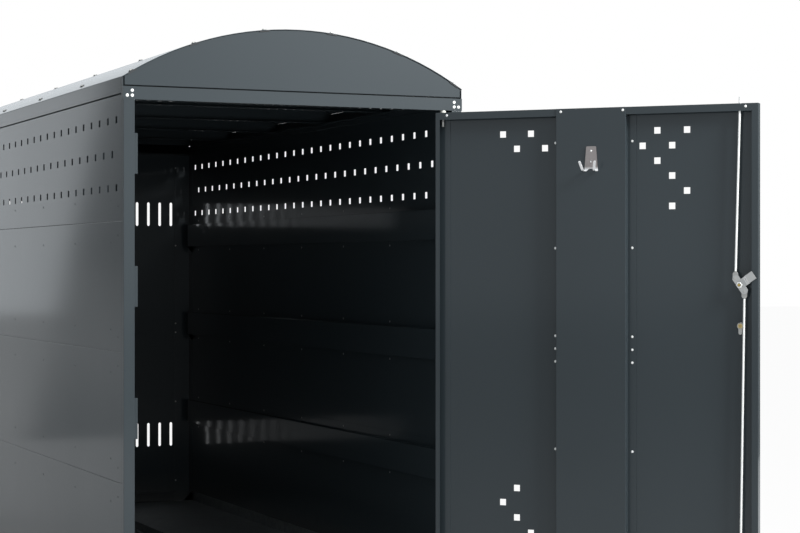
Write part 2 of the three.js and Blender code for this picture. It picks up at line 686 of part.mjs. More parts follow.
// Cam plate: two rod pins above and below the spindle, and a tongue set back by a bend
const armHalf = tongue.width / 2;
const tongueBack = camFront - cam.offset + cam.sheet;
place(lockTurn, 'cam_plate', zinc, cut(
  fuse(
    prism('y', [camFront, camBack], [
      [-cam.near, -cam.halfLength + cam.corner],
      [-cam.near + cam.corner, -cam.halfLength],
      [cam.far - cam.corner, -cam.halfLength],
      [cam.far, -cam.halfLength + cam.corner],
      [cam.far, -armHalf],
      [cam.armReach, -armHalf],
      [cam.armReach, armHalf],
      [cam.far, armHalf],
      [cam.far, cam.halfLength - cam.corner],
      [cam.far - cam.corner, cam.halfLength],
      [-cam.near + cam.corner, cam.halfLength],
      [-cam.near, cam.halfLength - cam.corner],
    ]),
    prism('z', [-armHalf, armHalf], [
      [cam.armReach, camBack],
      [cam.armReach - cam.sheet, camFront],
      [cam.armReach - cam.sheet + cam.bend, tongueBack - cam.sheet],
      [tongue.reach, tongueBack - cam.sheet],
      [tongue.reach, tongueBack],
      [cam.armReach + cam.bend, tongueBack],
    ]),
    ...[1, -1].map((side) => prism('y', [camBack - runningGap, camBack + rod.cover + rodEye.sheet],
      disc(0, side * rodPin.reach, rodPin.radius))),
  ),
  block(centred(0, socket), [camFront - overrun, camBack + overrun], centred(0, socket)),
));

place(lockTurn, 'cam_nut', zinc, prism('y', [nutSeat - nut.height, nutSeat],
  disc(0, 0, nut.flats / 2 / Math.cos(Math.PI / nut.sides), nut.sides),
  [disc(0, 0, spindle.threadRadius + turningGap)]));

// Lock rods: each is pinned to the cam plate and leans to its port in the end of the leaf
function rodSolid(length) {
  const start = rodEye.tail - rodEye.sheet;
  const half = rodEye.width / 2;
  const eye = prism('y', centred(0, rodEye.sheet), [
    ...arc(0, 0, half, 180, 360, roundSteps / 2),
    [half, rodEye.shoulder],
    [rod.radius, rodEye.tail],
    [-rod.radius, rodEye.tail],
    [-half, rodEye.shoulder],
  ], [disc(0, 0, rodPin.radius + rodPin.clearance)]);
  return fuse(eye, prism('z', [start, length], disc(0, 0, rod.radius)));
}

const camAngle = lock.turned * degrees;
function placeRod(name, up, travelEnd) {
  const pinX = -up * rodPin.reach * Math.sin(camAngle);
  const pinZ = up * rodPin.reach * Math.cos(camAngle);
  const port = up > 0 ? leafTop : leafBottom;
  const mesh = place(door, name, zinc, rodSolid(up * (travelEnd - lock.height)));
  mesh.position.set(spindleX + pinX, inside(rod.setback), lock.height + pinZ);
  mesh.rotation.y = Math.atan2(-pinX, port - lock.height - pinZ);
}

// Drawn right in, at a quarter turn, each rod ends level with the leaf
placeRod('lock_rod_upper', 1, leafTop);
placeRod('lock_rod_lower', -1, leafBottom);

export default locker;
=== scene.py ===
# %% [markdown]
# A single-bay bicycle locker in folded sheet steel, with an arched roof and its door open.
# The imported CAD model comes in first. It gives the true sizes, and every piece made here
# rides on one of its bodies, so the door, the lock and the key still turn.

# %% Load the frame
import json
import math

import bmesh
import bpy
from mathutils import Matrix, Vector

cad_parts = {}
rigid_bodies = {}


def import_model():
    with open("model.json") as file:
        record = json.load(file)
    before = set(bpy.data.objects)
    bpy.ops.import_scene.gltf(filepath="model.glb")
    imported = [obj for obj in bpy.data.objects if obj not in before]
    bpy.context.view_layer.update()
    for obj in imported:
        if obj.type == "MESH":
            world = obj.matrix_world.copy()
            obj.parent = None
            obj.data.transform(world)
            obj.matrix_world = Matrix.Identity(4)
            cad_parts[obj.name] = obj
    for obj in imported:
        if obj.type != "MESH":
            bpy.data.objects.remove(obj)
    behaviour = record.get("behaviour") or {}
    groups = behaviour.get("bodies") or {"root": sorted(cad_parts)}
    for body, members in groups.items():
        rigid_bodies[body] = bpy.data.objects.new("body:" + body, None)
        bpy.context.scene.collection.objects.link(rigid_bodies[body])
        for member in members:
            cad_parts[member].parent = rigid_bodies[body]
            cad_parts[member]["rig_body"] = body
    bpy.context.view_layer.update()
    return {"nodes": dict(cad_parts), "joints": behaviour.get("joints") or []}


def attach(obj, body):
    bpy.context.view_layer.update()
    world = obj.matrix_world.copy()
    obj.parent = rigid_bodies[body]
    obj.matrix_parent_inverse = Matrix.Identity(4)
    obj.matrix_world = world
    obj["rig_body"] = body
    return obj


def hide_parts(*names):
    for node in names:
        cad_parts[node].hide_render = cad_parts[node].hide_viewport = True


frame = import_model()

MM = 0.001
nodes = frame["nodes"]

# %% [markdown]
# The photograph was taken with a long lens, from the left of the doorway and at about hip
# height. The place and the lens were fitted to the rows of slots, which are evenly spaced.

# %% Camera
camera_data = bpy.data.cameras.new("camera")
camera_data.lens = 88.31
camera_data.sensor_width = 36
camera_data.shift_y = -0.00126
camera = bpy.data.objects.new("camera", camera_data)
camera.location = (-1.8698, -6.0054, 0.900)
camera.rotation_euler = (math.radians(90), 0, math.radians(-24.17))
bpy.context.scene.collection.objects.link(camera)
bpy.context.scene.camera = camera
bpy.context.scene.view_settings.view_transform = "Standard"
print("camera at", tuple(camera.location))

# %% [markdown]
# Shader maths reads best as sums and products, so a small class wraps a node's output and
# adds a Math node for each operator.

# %% Sums of shader values
class Value:
    """One output of a shader node, which adds Math nodes when it is used in a sum."""

    def __init__(self, finish, socket):
        self.finish = finish
        self.socket = socket

    def sum_with(self, operation, first, second):
        return self.finish.add("ShaderNodeMath", {"operation": operation}, {0: first, 1: second})

    def __add__(self, other):
        return self.sum_with("ADD", self, other)

    def __radd__(self, other):
        return self.sum_with("ADD", other, self)

    def __sub__(self, other):
        return self.sum_with("SUBTRACT", self, other)

    def __rsub__(self, other):
        return self.sum_with("SUBTRACT", other, self)

    def __mul__(self, other):
        return self.sum_with("MULTIPLY", self, other)

    def __rmul__(self, other):
        return self.sum_with("MULTIPLY", other, self)

    def largest(self, other):
        return self.sum_with("MAXIMUM", self, other)


print("a Value takes + - * and largest, each as one Math node")

# %% [markdown]
# Finish holds one node tree while it is being built. Its add method puts in any node, and the
# other methods are the few patterns that each finish below needs. All patterns lie on Object
# coordinates, so they keep their real size on every piece.

# %% Finishes under construction
class Finish:
    """A node tree under construction, for a material or for the world."""

    def __init__(self, name, owner=None):
        self.owner = owner or bpy.data.materials.new(name)
        self.owner.use_nodes = True
        self.tree = self.owner.node_tree
        self.shader = self.tree.nodes.get("Principled BSDF")

    def feed(self, socket, value):
        if isinstance(value, Value):
            self.tree.links.new(value.socket, socket)
        else:
            socket.default_value = value

    def add(self, kind, settings=None, inputs=None, output=0):
        node = self.tree.nodes.new(kind)
        for key, value in (settings or {}).items():
            if key == "stops":
                ramp = node.color_ramp.elements
                for element, (place, shade) in zip(ramp, value):
                    element.position = place
                    element.color = (shade, shade, shade, 1)
            else:
                setattr(node, key, value)
        for key, value in (inputs or {}).items():
            self.feed(node.inputs[key], value)
        return Value(self, node.outputs[output])

    def place(self, stretch=(1, 1, 1)):
        spot = self.add("ShaderNodeTexCoord", output="Object")
        return self.add("ShaderNodeMapping", {"vector_type": "POINT"},
                        {"Vector": spot, "Scale": stretch})

    def noise(self, scale, detail=2.0, stretch=(1, 1, 1)):
        return self.add("ShaderNodeTexNoise", None,
                        {"Vector": self.place(stretch), "Scale": scale, "Detail": detail})

    def ramp(self, value, low, high):
        """0 up to the low value, 1 from the high one on, and a straight line between."""
        return self.add("ShaderNodeValToRGB", {"stops": [(low, 0), (high, 1)]}, {"Fac": value})

    def along(self, axis, origin):
        """How far a point lies from the origin along this direction, in metres."""
        reach = self.add("ShaderNodeVectorMath", {"operation": "DOT_PRODUCT"},
                         {0: self.place(), 1: axis}, output="Value")
        return reach - axis.dot(origin)

    def mix(self, factor, first, second):
        return self.add("ShaderNodeMix", {"data_type": "RGBA"},
                        {0: factor, 6: first, 7: second}, output=2)

    def bump(self, height, distance, strength, below=None):
        inputs = {"Height": height, "Distance": distance, "Strength": strength}
        if below:
            inputs["Normal"] = below
        return self.add("ShaderNodeBump", None, inputs)

    def wear(self, **inputs):
        """Feeds the Principled shader, whose socket names are given in small letters."""
        for key, value in inputs.items():
            name = key.replace("_", " ").title().replace("Ior", "IOR")
            self.feed(self.shader.inputs[name], value)
        return self.owner


def shade(red, green, blue, level=1.0):
    """A screen colour, as 0 to 255, turned into the linear colour that a shader takes."""
    line = [channel / 255 for channel in (red, green, blue)]
    line = [c / 12.92 if c <= 0.04045 else ((c + 0.055) / 1.055) ** 2.4 for c in line]
    return (*(min(1.0, c * level) for c in line), 1.0)


print("middle grey in a shader", round(shade(128, 128, 128)[0], 3))

# %% [markdown]
# Powder coat is a baked plastic skin. Close up it has a fine orange peel, and from a few
# metres it is a smooth satin that mirrors its surroundings softly. The sheet under it is
# never quite flat, so one broad, faint bump bends the long reflections a little. Near the
# ground rain splashes dust on it, which makes it paler and duller there.

# %% Powder coat
def powder_coat(name, colour, gloss, skin=0.85):
    paint = Finish(name)
    cloud = paint.noise(2.2, 3)
    speck = paint.noise(420, 1)
    height = paint.add("ShaderNodeSeparateXYZ", None, {0: paint.place()}, output="Z")
    splash_foot, splash_slope = 0.02, 6.0
    rise = (height - splash_foot) * splash_slope
    splash = paint.ramp(rise + paint.noise(9, 4) * 0.5, 0.15, 0.75)
    clean = paint.mix(cloud, shade(*colour, level=0.92), shade(*colour, level=1.08))
    dust, dust_share = shade(150, 144, 134), 0.16
    dusty = paint.mix(dust_share, clean, dust)
    peel = paint.bump(paint.noise(520, 1.5), 0.0002, 0.10)
    sway = paint.bump(paint.noise(1.7, 0.5), 0.01, 0.05, below=peel)
    return paint.wear(
        base_color=paint.mix(splash, dusty, clean),
        roughness=gloss + 0.10 * cloud + 0.05 * speck + 0.10 * (1 - splash),
        specular_ior_level=0.15,
        coat_weight=skin,
        coat_roughness=0.10,
        coat_ior=1.36,
        normal=sway,
    )


anthracite = powder_coat("anthracite_powder_coat", (46, 54, 58), 0.40)
roof_coat = powder_coat("roof_powder_coat", (58, 66, 71), 0.38, skin=0.78)
print("made", anthracite.name, roof_coat.name)

# %% [markdown]
# The floor, the base rails and the wheel channel are hot-dip galvanised. The zinc freezes in
# crystals about a centimetre across, so a cell pattern shifts both colour and roughness.

# %% Galvanised steel
def galvanised_steel():
    zinc = Finish("galvanised_steel")
    cell = zinc.add("ShaderNodeTexVoronoi", {"feature": "F1"},
                    {"Vector": zinc.place(), "Scale": 85}, output="Color")
    flake = zinc.add("ShaderNodeSeparateColor", None, {"Color": cell})
    bloom = zinc.noise(5, 5)
    colour = zinc.mix(flake, shade(132, 136, 138), shade(168, 171, 172))
    return zinc.wear(
        base_color=zinc.mix(0.5 * bloom, colour, shade(118, 120, 120)),
        metallic=0.85,
        roughness=0.42 + 0.16 * flake + 0.12 * bloom,
        normal=zinc.bump(flake + zinc.noise(300, 2) * 0.4, 0.0002, 0.12),
    )


galvanised = galvanised_steel()
print("made", galvanised.name)

# %% [markdown]
# The lock parts are zinc plated: a thin layer with a faint blue or yellow cast where it was
# passivated, and fine tumbling marks. The stamped plate is grey. The rods, rivets and nuts
# are bare zinc too, but their glint is painted into the colour: they take a near white,
# barely metallic grade, a painted highlight.

# %% Zinc plate
def zinc_plate(name, cool, warm, metal):
    plate = Finish(name)
    cast = plate.noise(60, 3)
    marks = plate.noise(900, 2, stretch=(1, 1, 0.25))
    return plate.wear(
        base_color=plate.mix(cast, shade(*cool), shade(*warm)),
        metallic=metal,
        roughness=0.30 + 0.16 * cast + 0.08 * marks,
        normal=plate.bump(marks, 0.0001, 0.15),
    )


zinc = zinc_plate("zinc_plate", (160, 162, 164), (178, 176, 168), 0.8)
# Bare zinc whose glint is painted in: a near white, barely metallic colour, a painted highlight.
zinc_painted_glint = zinc_plate("zinc_painted_glint", (238, 240, 242), (246, 246, 240), 0.25)
print("made", zinc.name, zinc_painted_glint.name)

# %% [markdown]
# The coat hook, the handle and its plate are stainless steel with a brushed grain. Noise that
# is stretched along one axis gives the long fine lines.

# %% Brushed stainless
def brushed_stainless():
    steel = Finish("brushed_stainless")
    grain = steel.noise(260, 3, stretch=(1, 1, 14))
    smear = steel.noise(30, 3)
    return steel.wear(
        base_color=steel.mix(smear, shade(142, 136, 134), shade(164, 159, 156)),
        metallic=1.0,
        roughness=0.26 + 0.20 * grain + 0.08 * smear,
        normal=steel.bump(grain, 0.0001, 0.18),
    )


stainless = brushed_stainless()
print("made", stainless.name)

# %% [markdown]
# The spindle is brass that has dulled in patches. The pivot bushes are moulded nylon, and the
# roof screws press on rubber. The table at the end gives each slot of the record its finish.

# %% Brass, nylon and rubber
brass_clean, brass_stained = shade(196, 170, 104), shade(150, 128, 82)


def dulled_brass():
    brass = Finish("dulled_brass")
    stain = brass.ramp(brass.noise(140, 5), 0.35, 0.7)
    return brass.wear(
        base_color=brass.mix(stain, brass_clean, brass_stained),
        metallic=1.0,
        roughness=0.28 + 0.22 * stain,
        normal=brass.bump(brass.noise(800, 2), 0.0001, 0.1),
    )


def moulded_plastic(name, colour, roughness):
    plastic = Finish(name)
    grain = plastic.noise(700, 2)
    return plastic.wear(
        base_color=plastic.mix(plastic.noise(40, 2), shade(*colour, level=0.94), shade(*colour)),
        roughness=roughness + 0.1 * grain,
        normal=plastic.bump(grain, 0.0001, 0.2),
    )


brass = dulled_brass()
nylon = moulded_plastic("nylon", (216, 216, 208), 0.5)
rubber = moulded_plastic("sealing_rubber", (34, 35, 36), 0.6)
finish_of = {
    "anthracite_paint": anthracite,
    "roof_paint": roof_coat,
    "galvanised": galvanised,
    "zinc_plate": zinc,
    "stainless": stainless,
    "brass": brass,
    "nylon": nylon,
}
slot_of = {node: piece.data.materials[0].name.split(".")[0] for node, piece in nodes.items()}
print("slots", sorted(set(slot_of.values())))

# %% [markdown]
# The floor is plain and pale. To the camera it is mostly white, as the studio floor of the
# photograph is, but it keeps part of the locker's shadow. In mirrors it is much dimmer, since
# the foot of the steel walls would look too pale otherwise.

# %% Studio floor
floor_finish = Finish("pale_floor")
floor_finish.wear(base_color=(0.6, 0.6, 0.6, 1.0), roughness=0.8 + 0.1 * floor_finish.noise(8))
floor_glow = floor_finish.add("ShaderNodeEmission", None,
                              {"Color": (1, 1, 1, 1), "Strength": 1.0})
glow_share, mirrored_share = 0.95, 0.2


def bright_rays(finish, reflected=1.0):
    """1 for the rays of the camera, and this share of it for those in mirrors and glass."""
    paths = finish.add("ShaderNodeLightPath").socket.node.outputs
    names = ("Is Camera Ray", "Is Glossy Ray", "Is Transmission Ray")
    camera_ray, mirrored, through = (Value(finish, paths[name]) for name in names)
    return camera_ray.largest(mirrored.largest(through) * reflected), camera_ray


seen, _ = bright_rays(floor_finish, reflected=mirrored_share)
blend = floor_finish.add("ShaderNodeMixShader", None, {0: seen * glow_share, 2: floor_glow})
floor_links, floor_output = floor_finish.tree.links, floor_finish.tree.nodes["Material Output"]
floor_links.new(floor_finish.shader.outputs[0], blend.socket.node.inputs[1])
floor_links.new(blend.socket, floor_output.inputs[0])

bpy.ops.object.select_all(action="DESELECT")
bpy.ops.mesh.primitive_plane_add(size=60, location=(0, 0, -0.001))
studio_floor = bpy.context.object
studio_floor.name = "studio_floor"
studio_floor.data.materials.append(floor_finish.owner)
print("floor", floor_finish.owner.name)

# %% [markdown]
# Two dark flags stand far behind, outside the picture. The left wall is seen almost edge on
# and mirrors what is there, so one flag gives its front corner the dark fade. It gets paler
# towards its foot, so that its mirror image has no hard lower edge. The other one darkens the
# narrow side of the open door.

# %% Dark flags
pale_foot_height = 0.55


def studio_flag(name, place, turn, size, grey, foot):
    """A dark upright board that only mirrors can see. It gets paler towards its foot."""
    angles = [math.radians(angle) for angle in (90, *turn)]
    bpy.ops.mesh.primitive_plane_add(size=1, location=place, rotation=angles)
    board = bpy.context.object
    board.name = name
    board.scale = (*size, 1)
    board.visible_camera = board.visible_diffuse = board.visible_shadow = False
    cloth = Finish(f"{name}_cloth")
    height = cloth.add("ShaderNodeSeparateXYZ", None, {0: cloth.place()}, output="Y")
    rise = cloth.ramp(height * size[1] + place[2], 0.0, pale_foot_height)
    cloth.wear(base_color=cloth.mix(rise, (foot, foot, foot, 1.0), (grey, grey, grey, 1.0)),
               roughness=0.9 - 0.1 * cloth.noise(4))
    board.data.materials.append(cloth.owner)
    return board


left_flag = studio_flag("studio_flag_left", (-3.83, 4.0, 0.7), (-12.2, 0), (4.3, 4.2),
                        grey=0.16, foot=0.55)
right_flag = studio_flag("studio_flag_right", (4.6, 0.4, 0.9), (0, -58.5), (2.4, 3.6),
                         grey=0.08, foot=0.08)
print("flags", left_flag.name, right_flag.name)

# %% [markdown]
# The world is a soft dome. The camera sees it pure white, and all other rays see it a little
# cool. Mirrors see it twice as bright as the light that it gives, because the walls of the
# photograph's studio were bright. One soft box at the front right shapes the shadows.

# %% Dome and soft box
sky = Finish("sky", owner=bpy.data.worlds.new("soft_dome"))
bpy.context.scene.world = sky.owner
plain = sky.tree.nodes["Background"]
white, camera_ray = bright_rays(sky)
dome_level = 0.5
sky.feed(plain.inputs["Strength"], dome_level + (1 - dome_level) * white)
backdrop = (1.0, 1.0, 1.0, 1.0)
light_tint = (0.91, 0.96, 1.0, 1.0)
sky.feed(plain.inputs["Color"], sky.mix(camera_ray, light_tint, backdrop))


def softbox(name, place, aim, size, power):
    lamp = bpy.data.lights.new(name, "AREA")
    lamp.shape = "RECTANGLE"
    lamp.size, lamp.size_y = size
    lamp.energy = power
    holder = bpy.data.objects.new(name, lamp)
    holder.location = place
    holder.rotation_euler = (Vector(aim) - Vector(place)).to_track_quat("-Z", "Y").to_euler()
    bpy.context.scene.collection.objects.link(holder)


softbox("key_box", (2.9, -4.9, 3.5), (0.0, -1.2, 1.4), (2.0, 1.6), 480)
print("dome level", dome_level)

# %% [markdown]
# Each new piece starts with a clean selection, and its faces or edges are picked in code by
# a test, before the next operator works on them. That way nothing depends on what an earlier
# cell left selected.

# %% Selections
def start_clean():
    if bpy.context.object and bpy.context.object.mode != "OBJECT":
        bpy.ops.object.mode_set(mode="OBJECT")
    bpy.ops.object.select_all(action="DESELECT")


def only(piece):
    start_clean()
    piece.select_set(True)
    bpy.context.view_layer.objects.active = piece
    return piece


def edit(piece, kind="FACE"):
    only(piece)
    bpy.ops.object.mode_set(mode="EDIT")
    bpy.ops.mesh.select_mode(type=kind)
    bpy.ops.mesh.select_all(action="DESELECT")


def pick(piece, test, kind="FACE"):
    """Selects only the faces, edges or vertices that pass the test, and returns how many."""
    bpy.ops.mesh.select_mode(type=kind)
    bpy.ops.mesh.select_all(action="DESELECT")
    mesh = bmesh.from_edit_mesh(piece.data)
    mesh.normal_update()
    elements = {"FACE": mesh.faces, "EDGE": mesh.edges, "VERT": mesh.verts}[kind]
    chosen = [element for element in elements if test(element)]
    for element in chosen:
        element.select_set(True)
    bmesh.update_edit_mesh(piece.data)
    return len(chosen)


# %% [markdown]
# A few operators come back in nearly every piece: a circle or a box to start from, an
# extrusion by so many millimetres, and a bevel on all sharp edges.

# %% Shapes and edges
def use(piece, kind, **settings):
    """Adds a modifier with these settings and applies it."""
    only(piece)
    modifier = piece.modifiers.new(kind.title(), kind)
    for key, value in settings.items():
        setattr(modifier, key, value)
    bpy.ops.object.modifier_apply(modifier=modifier.name)


def soften(piece, width, angle=50, segments=2):
    """Rounds all edges that turn by more than the angle."""
    use(piece, "BEVEL", width=width * MM, segments=segments, limit_method="ANGLE",
        angle_limit=math.radians(angle), use_clamp_overlap=True)


def circle(radius, sides, **where):
    """A filled circle in edit mode, all selected, ready to be extruded."""
    start_clean()
    bpy.ops.mesh.primitive_circle_add(vertices=sides, radius=radius * MM, fill_type="NGON",
                                      **where)
    piece = bpy.context.object
    bpy.ops.object.transform_apply(location=True, rotation=True, scale=True)
    bpy.ops.object.mode_set(mode="EDIT")
    bpy.ops.mesh.select_all(action="SELECT")
    return piece


def block(centre, size):
    """A box in millimetres, with its place and its size in the mesh."""
    start_clean()
    bpy.ops.mesh.primitive_cube_add(size=1, location=Vector(centre) * MM)
    piece = bpy.context.object
    piece.scale = Vector(size) * MM
    bpy.ops.object.transform_apply(location=True, rotation=True, scale=True)
    return piece


def extrude(by):
    bpy.ops.mesh.extrude_region_move(TRANSFORM_OT_translate={"value": Vector(by) * MM})


def face_outwards():
    bpy.ops.mesh.select_all(action="SELECT")
    bpy.ops.mesh.normals_make_consistent(inside=False)


def middle(edge):
    return sum((vert.co for vert in edge.verts), Vector()) / 2


def reach_along_y(edge):
    """How far an edge goes along Y, in millimetres."""
    return abs((edge.verts[0].co - edge.verts[1].co).y) / MM


print("lengths are given in millimetres, one is", MM, "m")

# %% [markdown]
# A finished piece gets soft shading and its place in the mesh. Then it is hung on the body it
# rides on, takes the finish of its slot unless a finish is given, and the CAD nodes that it
# replaces are hidden.

# %% Finished pieces
def smooth(piece, angle=35):
    """Soft shading over the rounded edges, with the broad flats kept flat."""
    only(piece)
    bpy.ops.object.shade_smooth_by_angle(angle=math.radians(angle))
    use(piece, "WEIGHTED_NORMAL", keep_sharp=True)


def settle(piece, name, slot, body, *replaced, finish=None):
    """Applies the piece's place, names it, gives it its finish and hands it to its body."""
    only(piece)
    bpy.ops.object.transform_apply(location=True, rotation=True, scale=True)
    piece.name = name
    piece.data.name = name
    piece.data.materials.clear()
    piece.data.materials.append(finish or finish_of[slot])
    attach(piece, body)
    if replaced:
        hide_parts(*replaced)


def body_of(node):
    return nodes[node]["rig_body"]


print("nodes on the door", sum(body_of(node) == "door" for node in nodes))

# %% [markdown]
# Most of the locker is folded sheet. The CAD solids have the right size, but their folds are
# knife sharp. A press brake leaves a radius, and that radius is what catches the light. So
# each sheet piece is a copy of its CAD node whose fold edges are beveled. An edge is a fold
# where both faces beside it are broad. Where one of them is only the sheet's own thickness,
# it is a cut edge and keeps a small burr radius.

# %% Folded sheet pieces
def breadth(face):
    """How wide a face is across its longest edge."""
    return face.calc_area() / max(edge.calc_length() for edge in face.edges)


def is_fold(edge, sheet):
    if len(edge.link_faces) != 2 or edge.calc_length() < 8 * sheet:
        return False
    if not math.radians(60) < edge.calc_face_angle(0) < math.radians(120):
        return False
    return all(breadth(face) > 1.6 * sheet for face in edge.link_faces)


def merged_copy(node):
    piece = bpy.data.objects.new(f"{node}_copy", nodes[node].data.copy())
    bpy.context.scene.collection.objects.link(piece)
    edit(piece)
    bpy.ops.mesh.select_all(action="SELECT")
    bpy.ops.mesh.remove_doubles(threshold=0.01 * MM)
    bpy.ops.mesh.dissolve_limited(angle_limit=math.radians(0.4))
    return piece


def folded(node, sheet=2.0, outer=2.6, inner=0.8, burr=0.25):
    piece = merged_copy(node)
    folds = 0
    for radius, convex in ((outer, True), (inner, False)):
        found = pick(piece, lambda e: is_fold(e, sheet * MM) and e.is_convex == convex, "EDGE")
        if found:
            bpy.ops.mesh.bevel(offset=radius * MM, segments=4, affect="EDGES", clamp_overlap=True)
        folds += found
    only(piece)
    if burr:
        soften(piece, burr, segments=1)
    smooth(piece)
    settle(piece, f"{node}_sheet", slot_of[node], body_of(node), node)
    print(node, "folds", folds, "faces", len(piece.data.polygons))


hands = ("right", "left")
frame_sheets = ["threshold", "rear_sill", "front_header", "rear_header"]
frame_sheets += [f"{part}_{hand}" for part in ("front_post", "rear_post", "base_rail")
                 for hand in hands]
for node in frame_sheets:
    folded(node)

for node in ["front_gable", "rear_gable", "eave_fascia_right", "eave_fascia_left"]:
    folded(node, sheet=1.5, outer=2.0, inner=0.6)
for row in (1, 2, 3):
    for hand in hands:
        folded(f"seam_rail_{row}_{hand}", sheet=1.5, outer=2.2, inner=1.0)
for row in (1, 2, 3, 4):
    folded(f"roof_rib_{row}", sheet=1.5, outer=0.8, inner=1.2, burr=0)
folded("wheel_channel", sheet=2.0, outer=2.4, inner=1.0)
folded("base_cross_bar", sheet=2.0, outer=0.6)
for level in ("lower", "middle", "upper"):
    folded(f"stop_tab_{level}", sheet=2.0, outer=2.4, inner=0.8)
folded("door_leaf", sheet=1.5, outer=2.2, inner=0.7)
folded("door_band", sheet=1.5, outer=2.2, inner=0.7)

# %% [markdown]
# The wall panels are flat plates. At the seams their long edges are rounded over almost the
# whole sheet, so that each seam catches a line of light and one of shade. All other edges get
# a small round. The top panel is joggled in behind the eave fascia: two bisect cuts mark the
# step, and what is above them moves in by a few millimetres. The step reads as the dark line
# under the fascia.

# %% Wall panels
fascia_foot, groove, step_height, step_in = 1338.5, 3.6, 0.6, 6
seam_round, side_round, back_round = 1.25, 0.45, 0.4
half_width, half_depth = 475, 1190
side_seams = (346, 680, 1014)


def is_seam_edge(edge):
    """True for an edge of over a metre that lies in the outer face, at a seam."""
    centre = middle(edge) / MM
    at_seam = min(abs(centre.z - seam) for seam in side_seams) < 1
    return edge.calc_length() > 1 and at_seam and abs(centre.x) > half_width - 0.1


for hand, side in zip(hands, (1, -1)):
    for row in (1, 2, 3, 4):
        node = f"side_panel_{row}_{hand}"
        panel = merged_copy(node)
        if row == 4:
            for height in (fascia_foot - groove, fascia_foot - groove + step_height):
                bpy.ops.mesh.select_all(action="SELECT")
                bpy.ops.mesh.bisect(plane_co=(0, 0, height * MM), plane_no=(0, 0, 1))
            above = (fascia_foot - groove + step_height / 2) * MM
            pick(panel, lambda v: v.co.z > above, "VERT")
            bpy.ops.transform.translate(value=(-side * step_in * MM, 0, 0))
        pick(panel, is_seam_edge, "EDGE")
        bpy.ops.mesh.bevel(offset=seam_round * MM, segments=3, affect="EDGES")
        soften(panel, side_round)
        smooth(panel)
        settle(panel, f"{node}_plate", slot_of[node], "housing", node)
for node in ("back_panel_lower", "back_panel_upper", "back_joint_strip", "floor_panel"):
    panel = merged_copy(node)
    soften(panel, back_round)
    smooth(panel)
    settle(panel, f"{node}_plate", slot_of[node], "housing", node)
    print(node, "faces", len(panel.data.polygons))

# %% [markdown]
# The roof is one rolled sheet. Its arc is cut into flats in the CAD mesh, so a copy with
# merged points is shaded smooth, which gives one long even highlight.

# %% Roof sheet
roof = merged_copy("roof_sheet")
soften(roof, 0.3, angle=60)
smooth(roof)
settle(roof, "roof_sheet_rolled", "roof_paint", "housing", "roof_sheet")
print("roof faces", len(roof.data.polygons))

# %% [markdown]
# Pins, bushes, the cam plate, the cylinder and the rods are turned, stamped or drawn parts.
# They have no folds, but every edge has been tumbled, so each copy gets a small round on all
# sharp edges. The tail of the cylinder also gets its round foot.

# %% Turned and stamped parts
tumbled_round, tumbled_angle = 0.4, 40


def tumbled(node, finish=None, shape=None):
    piece = merged_copy(node)
    if shape:
        shape(piece)
    soften(piece, tumbled_round, tumbled_angle)
    smooth(piece)
    settle(piece, f"{node}_tumbled", slot_of[node], body_of(node), node, finish=finish)
    return piece


def round_tail(piece):
    """Rounds the foot of the cylinder's tail, at its two long edges."""
    foot, tail_round = min(vert.co.z for vert in piece.data.vertices) + 0.1 * MM, 4.5
    pick(piece, lambda e: e.calc_length() > 10 * MM and middle(e).z < foot, "EDGE")
    bpy.ops.mesh.bevel(offset=tail_round * MM, segments=6, affect="EDGES")


tumbled_parts = ["pivot_pin_top", "pivot_pin_bottom", "pivot_bush_top", "pivot_bush_bottom",
                 "hinge_stile"]
for node in tumbled_parts:
    tumbled(node)
tumbled("lock_spindle", finish=brass)
tumbled("lock_cylinder", shape=round_tail)
print("tumbled", len(tumbled_parts) + 2)

# %% [markdown]
# The door's own pieces are easiest to model with the door shut in front of us. Then its X runs
# to the free edge, its Y to the outside, and one matrix carries a piece to the open leaf. The
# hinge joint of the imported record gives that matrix, so it can't drift from the CAD.

# %% The door's frame of reference
joint = {j["name"]: j for j in frame["joints"]}
hinge = joint["door_hinge"]
hinge_x, hinge_y = hinge["pos_m"][:2]
shut_angle = math.radians(-180 - hinge["range_deg"][0])
door_place = Matrix.Translation((hinge_x, hinge_y, 0)) @ Matrix.Rotation(shut_angle, 4, "Z")
print("hinge", round(hinge_x, 4), round(hinge_y, 4))
print("leaf turned", round(math.degrees(shut_angle), 2))

# %% [markdown]
# A blind rivet has a low dome with a small pit where its mandrel snapped. One is modelled
# from a circle: extrude the rim, then inset and lift the top face ring by ring, and sink the
# last ring. It is then copied to every place, each copy with its own mesh.

# %% Rivet and screw patterns
def dome(name, radius, rise, sides=12):
    """A rivet head on the ground plane, with its top towards +Z."""
    piece = circle(radius, sides)
    piece.name = name
    extrude((0, 0, 0.3 * rise))
    for thickness, lift in ((0.22, 0.45), (0.30, 0.22), (0.10, 0.03), (0.08, -0.35)):
        bpy.ops.mesh.inset(thickness=thickness * radius * MM, depth=lift * rise * MM)
    face_outwards()
    only(piece)
    bpy.ops.object.shade_smooth_by_angle(angle=math.radians(50))
    return piece


def scatter(template, name, slot, body, places, frame_of=Matrix.Identity(4), finish=None):
    """Copies a template to (place in mm, direction) pairs and joins the copies into one piece."""
    copies = []
    for place, towards in places:
        copy = template.copy()
        copy.data = template.data.copy()
        turn = Vector(towards).to_track_quat("Z", "Y").to_matrix().to_4x4()
        copy.matrix_world = frame_of @ Matrix.Translation(Vector(place) * MM) @ turn
        bpy.context.scene.collection.objects.link(copy)
        copies.append(copy)
    start_clean()
    for copy in copies:
        copy.select_set(True)
    bpy.context.view_layer.objects.active = copies[0]
    bpy.ops.object.join()
    settle(bpy.context.object, name, slot, body, finish=finish)
    print(name, len(places))


def clear_away(*templates):
    for template in templates:
        bpy.data.objects.remove(template, do_unlink=True)


outside = {"front": (0, -1, 0), "back": (0, 1, 0), "left": (-1, 0, 0), "right": (1, 0, 0)}

